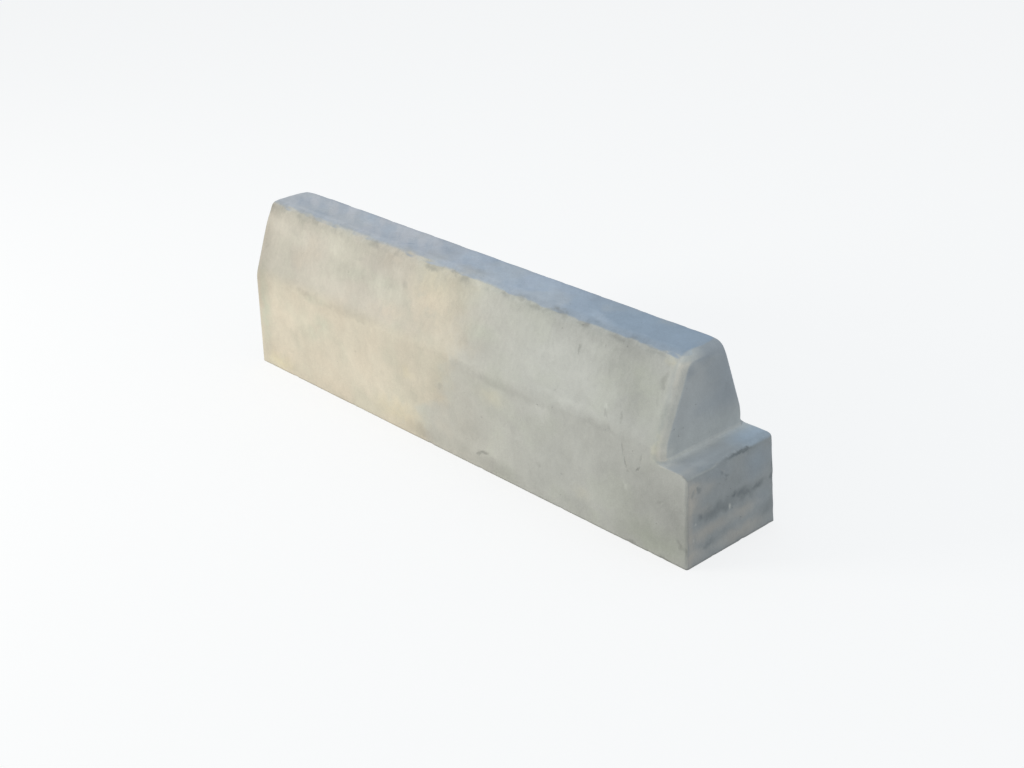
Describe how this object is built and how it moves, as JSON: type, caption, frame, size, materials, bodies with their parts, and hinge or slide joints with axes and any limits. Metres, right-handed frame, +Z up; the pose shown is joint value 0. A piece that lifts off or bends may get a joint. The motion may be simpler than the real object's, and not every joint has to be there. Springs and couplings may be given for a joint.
{
  "type": "concrete kerb stone",
  "caption": "Precast concrete kerb stone with drafted sides, sloping upper faces, a rounded crown and a low stepped tongue at its end.",
  "frame": {"origin": "middle of the stone's overall length and width, on the bed face that it stands on", "axes": "+X along the stone towards the stepped tongue, +Y across it, +Z up"},
  "size_m": [1.06, 0.2, 0.3],
  "materials": {
    "concrete": "matte"
  },
  "bodies": {
    "root": {"kerb_stone": "concrete"}
  },
  "joints": []
}
